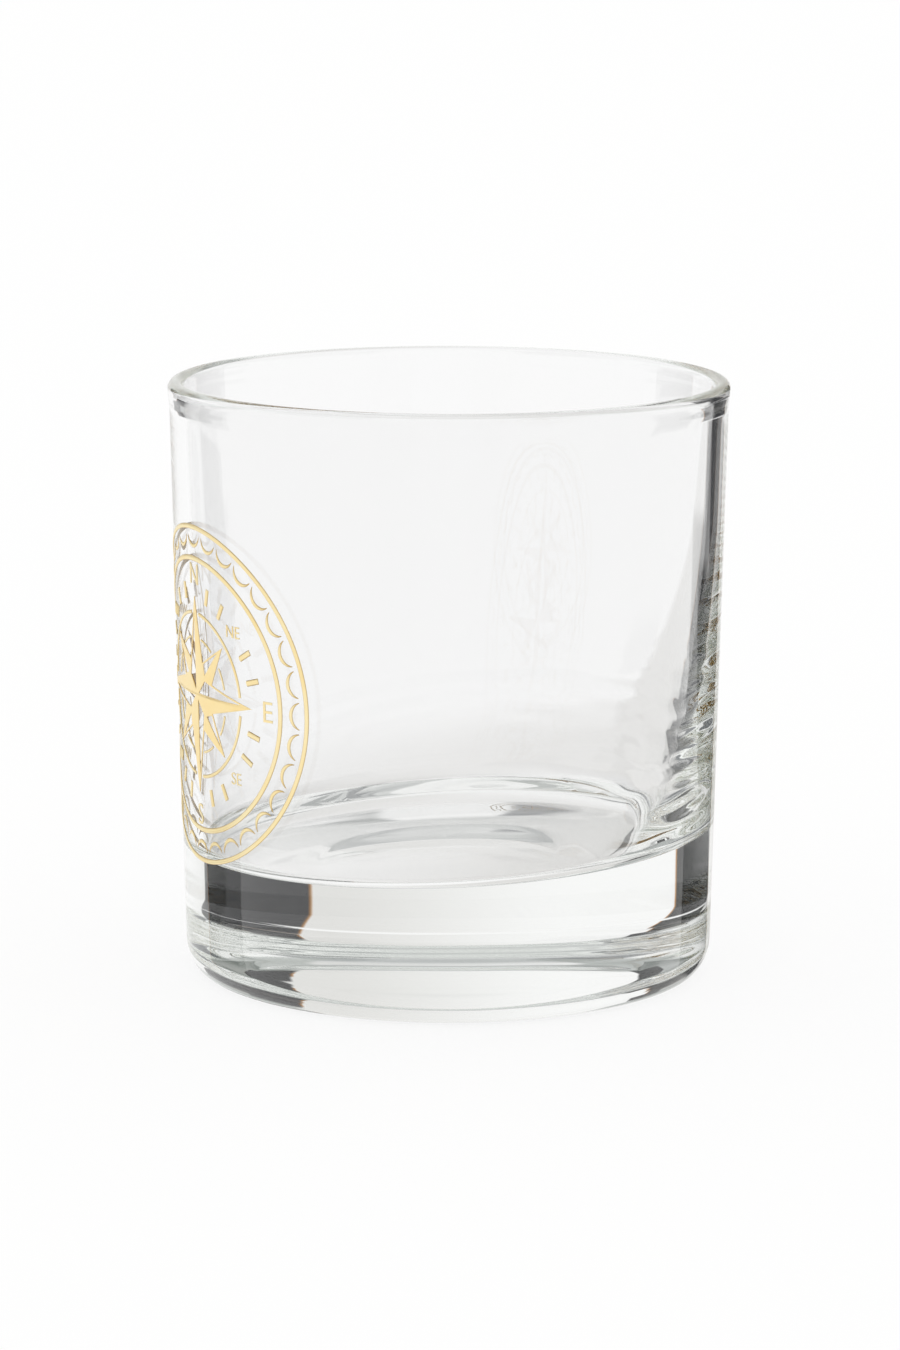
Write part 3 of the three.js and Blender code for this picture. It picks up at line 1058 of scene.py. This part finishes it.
@dataclass(frozen=True)
class Studio:
    """Pale floor and a white surround with grey screens that draw the edges of clear glass."""

    azimuth_deg: float
    floor_colour: str = "#FCFCFB"
    floor_radius_mm: float = 3000.0
    floor_drop_mm: float = 0.1  # keeps floor and standing ring apart
    floor_glow: float = 0.86  # share of the floor that is white without any lamp
    floor_sides: int = 96
    ring_radius_mm: float = 350.0  # of the clear ring that holds the standing cards
    ring_span_mm: Point = (40.0, 150.0)  # heights of its lower and upper edge
    ring_sides: int = 192
    surround: tuple[Screen, ...] = (
        Screen((0.0, 60.0), (-70.0, 30.0), "#E6E5E3", soft_deg=40.0),
        Screen((-180.0, 180.0), (60.0, 95.0), "#CDCFCE", soft_reach=20.0),
        Screen((-95.0, 95.0), (30.0, 68.0), "#B2B5B5", 20.0, 12.0),
        Screen((95.0, 145.0), (20.0, 60.0), "#989C9B", 10.0, 10.0),
        Screen((-145.0, -93.0), (18.0, 60.0), "#76797C", 10.0, 10.0),
        Screen((26.0, 95.0), (20.0, 48.0), "#B6BAB7", soft_reach=6.0),
        Screen((-95.0, -43.2), (20.0, 48.0), "#B0B4B2", soft_reach=6.0, lean=0.67),
        Screen((22.9, 40.0), (-19.0, 6.0), "#C98F45", 0.8, 3.0, 0.12),
        Screen((23.2, 59.0), (-26.0, 6.8), "#3E3E40", 1.2, 3.0, 0.12),
        Screen((47.0, 59.0), (-26.0, 6.8), "#1E1E20", 1.2, 3.0, 0.12),
        Screen((-65.0, -40.9), (-25.0, 6.0), "#C98F45", 0.8, 2.0, 0.67),
        Screen((-69.0, -41.5), (-28.0, 6.8), "#1E1E20", 1.2, 2.0, 0.67),
    )
    table: tuple[Screen, ...] = (
        Screen((-190.0, 190.0), (-20.0, 135.0), "#000000", soft_reach=60.0),
        Screen((20.0, 46.0), (90.0, 600.0), "#000000", 2.0, 20.0),
        Screen((40.0, 58.0), (90.0, 370.0), "#000000", 2.0, 40.0),
    )
    cards: tuple[Screen, ...] = (
        Screen((23.0, 75.0), (84.0, 160.0), "#B2B6B3", 4.0, 10.0),
        Screen((-85.0, -36.0), (80.0, 160.0), "#AEB1B0", 4.0, 10.0, 0.04),
        Screen((20.4, 40.0), (0.0, 88.0), "#C98F45", 0.6, 8.0),
        Screen((20.8, 53.5), (0.0, 88.0), "#3E3E40", 1.0, 8.0),
        Screen((21.0, 34.0), (80.0, 116.0), "#3E3E40", 1.0, 10.0),
        Screen((-55.0, -35.7), (0.0, 84.0), "#C98F45", 0.6, 8.0, 0.04),
        Screen((-70.0, -36.1), (0.0, 84.0), "#1E1E20", 1.0, 8.0, 0.04),
        Screen((-39.0, -28.8), (72.0, 124.0), "#2C2C2E", 1.0, 6.0),
    )

    def build(self) -> None:
        """Makes the floor, the cards and the surround."""
        self._floor()
        self._card_ring()
        self._world()

    def _floor(self) -> None:
        """Lays a pale disc under the glass."""
        shape = bmesh.new()
        bmesh.ops.create_circle(
            shape,
            cap_ends=True,
            segments=self.floor_sides,
            radius=self.floor_radius_mm * MM,
            matrix=Matrix.Translation((0.0, 0.0, -self.floor_drop_mm * MM)),
        )
        self._stage("floor", shape, self._floor_material())

    def _card_ring(self) -> None:
        """Stands a clear ring with its cards around the glass."""
        low, high = (edge * MM for edge in self.ring_span_mm)
        shape = bmesh.new()
        bmesh.ops.create_cone(
            shape,
            segments=self.ring_sides,
            radius1=self.ring_radius_mm * MM,
            radius2=self.ring_radius_mm * MM,
            depth=high - low,
            matrix=Matrix.Translation((0.0, 0.0, (low + high) / 2)),
        )
        self._stage("card_ring", shape, self._card_material())

    def _stage(self, name: str, shape: bmesh.types.BMesh, material: Material) -> None:
        """Puts a shape of the studio on the stage.

        Args:
            name: Name of its object.
            shape: The shape; it is used up.
            material: Its material.
        """
        mesh = bpy.data.meshes.new(name)
        shape.to_mesh(mesh)
        shape.free()
        mesh.materials.append(material)
        holder = bpy.data.objects.new(name, mesh)
        bpy.context.scene.collection.objects.link(holder)

    def _floor_material(self) -> Material:
        """Makes the floor white for the eye, with a soft shadow, and screened for the glass.

        Returns:
            The material.
        """
        material, tree = new_material("pale_floor")
        place = add_node(tree, "ShaderNodeTexCoord").outputs["Object"]
        away = add_node(tree, VECTOR_MATH, {0: place}, "LENGTH")
        distance = add_node(tree, MATH, {0: away, 1: MM}, "DIVIDE")
        solid = self._screens(tree, place, distance, self.table)
        lit = add_node(tree, "ShaderNodeBsdfDiffuse", {"Color": linear(self.floor_colour)})
        glow = add_node(tree, "ShaderNodeEmission", {"Color": linear(WHITE)})
        plain = add_node(tree, "ShaderNodeMixShader", {0: self.floor_glow, 1: lit, 2: glow})
        clear = add_node(tree, "ShaderNodeBsdfTransparent")
        through = add_node(tree, "ShaderNodeMixShader", {0: solid, 1: clear, 2: glow})
        seen = {0: self._by_glass_or_metal(tree), 1: plain, 2: through}
        mixed = add_node(tree, "ShaderNodeMixShader", seen)
        add_node(tree, "ShaderNodeOutputMaterial", {"Surface": mixed})
        return material

    def _card_material(self) -> Material:
        """Makes the ring clear for the eye and the light, and shaded by its cards for the glass.

        Returns:
            The material.
        """
        material, tree = new_material("studio_cards")
        place = add_node(tree, "ShaderNodeTexCoord").outputs["Object"]
        rise = add_node(tree, SEPARATE, {0: place}).outputs["Z"]
        height = add_node(tree, MATH, {0: rise, 1: MM}, "DIVIDE")
        shade = self._screens(tree, place, height, self.cards)
        seen = {0: self._by_glass_or_metal(tree), 6: linear(WHITE), 7: shade}
        colour = add_node(tree, MIX, seen, data_type="RGBA")
        clear = add_node(tree, "ShaderNodeBsdfTransparent", {"Color": colour})
        add_node(tree, "ShaderNodeOutputMaterial", {"Surface": clear})
        return material

    def _world(self) -> None:
        """Makes the surround: white for the eye and screened for glass and metal."""
        world = bpy.data.worlds.new("studio_surround")
        world.use_nodes = True
        tree = world.node_tree
        tree.nodes.clear()
        place = add_node(tree, "ShaderNodeTexCoord").outputs["Generated"]
        rise = add_node(tree, SEPARATE, {0: place}).outputs["Z"]
        slope = add_node(tree, MATH, {0: rise}, "ARCSINE")
        elevation = add_node(tree, MATH, {0: slope}, "DEGREES")
        shade = self._screens(tree, place, elevation, self.surround)
        seen = {0: self._by_glass_or_metal(tree), 6: linear(WHITE), 7: shade}
        colour = add_node(tree, MIX, seen, data_type="RGBA")
        back = add_node(tree, "ShaderNodeBackground", {"Color": colour})
        add_node(tree, "ShaderNodeOutputWorld", {"Surface": back})
        bpy.context.scene.world = world

    def _by_glass_or_metal(self, tree: NodeTree) -> Node:
        """Tells what glass and metal show, by a node that gives one for their rays, else zero."""
        path = add_node(tree, "ShaderNodeLightPath").outputs
        rays = {0: path["Is Glossy Ray"], 1: path["Is Transmission Ray"]}
        return add_node(tree, MATH, rays, "MAXIMUM")

    def _screens(
        self, tree: NodeTree, direction: Feed, reach: Feed, screens: Sequence[Screen]
    ) -> Feed:
        """Lays soft-edged screens over white.

        Args:
            tree: Tree to extend.
            direction: Feed of the direction from the glass.
            reach: Feed of the elevation, distance or height.
            screens: The screens.

        Returns:
            Feed of the colour.
        """
        from_view = {"Vector": direction, "Angle": -math.radians(self.azimuth_deg)}
        turned = add_node(tree, ROTATE, from_view, rotation_type="Z_AXIS")
        parts = add_node(tree, SEPARATE, {0: turned}).outputs
        turn = add_node(tree, MATH, {0: parts["X"], 1: parts["Y"]}, "ARCTAN2")
        azimuth = add_node(tree, MATH, {0: turn}, "DEGREES")
        colour: Any = linear(WHITE)
        for screen in screens:
            leaning = {0: reach, 1: -screen.lean, 2: azimuth}
            side = add_node(tree, MATH, leaning, "MULTIPLY_ADD")
            masks = []
            for measure, (low, high), soft in (
                (side, screen.azimuth_deg, screen.soft_deg),
                (reach, screen.reach, screen.soft_reach),
            ):
                half = (high - low) / 2
                middle = {0: measure, 1: (low + high) / 2}
                offset = add_node(tree, MATH, middle, "SUBTRACT")
                gap = add_node(tree, MATH, {0: offset}, "ABSOLUTE")
                edge = {"From Min": half - soft / 2, "From Max": half + soft / 2}
                fade = {"Value": gap, "To Min": 1.0, "To Max": 0.0}
                masks.append(
                    add_node(tree, MAP_RANGE, edge | fade, interpolation_type="SMOOTHSTEP")
                )
            share = add_node(tree, MATH, dict(enumerate(masks)), "MULTIPLY")
            shades = {0: share, 6: colour, 7: linear(screen.shade)}
            colour = add_node(tree, MIX, shades, data_type="RGBA")
        return colour


def main() -> None:
    """Builds the tumbler, its print and the studio."""
    logging.basicConfig(level=logging.INFO, format="%(name)s: %(message)s")
    scene = bpy.context.scene
    scene.view_settings.view_transform = "Standard"
    for limit in ("max_bounces", "transmission_bounces", "glossy_bounces"):
        setattr(scene.cycles, limit, GLASS_BOUNCES)
    camera = StudioCamera()
    camera.build()
    Studio(camera.azimuth_deg).build()
    tumbler = Tumbler()
    tumbler.build()
    CompassRose(tumbler.sizes).build()
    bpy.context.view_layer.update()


if __name__ == "__main__":
    main()
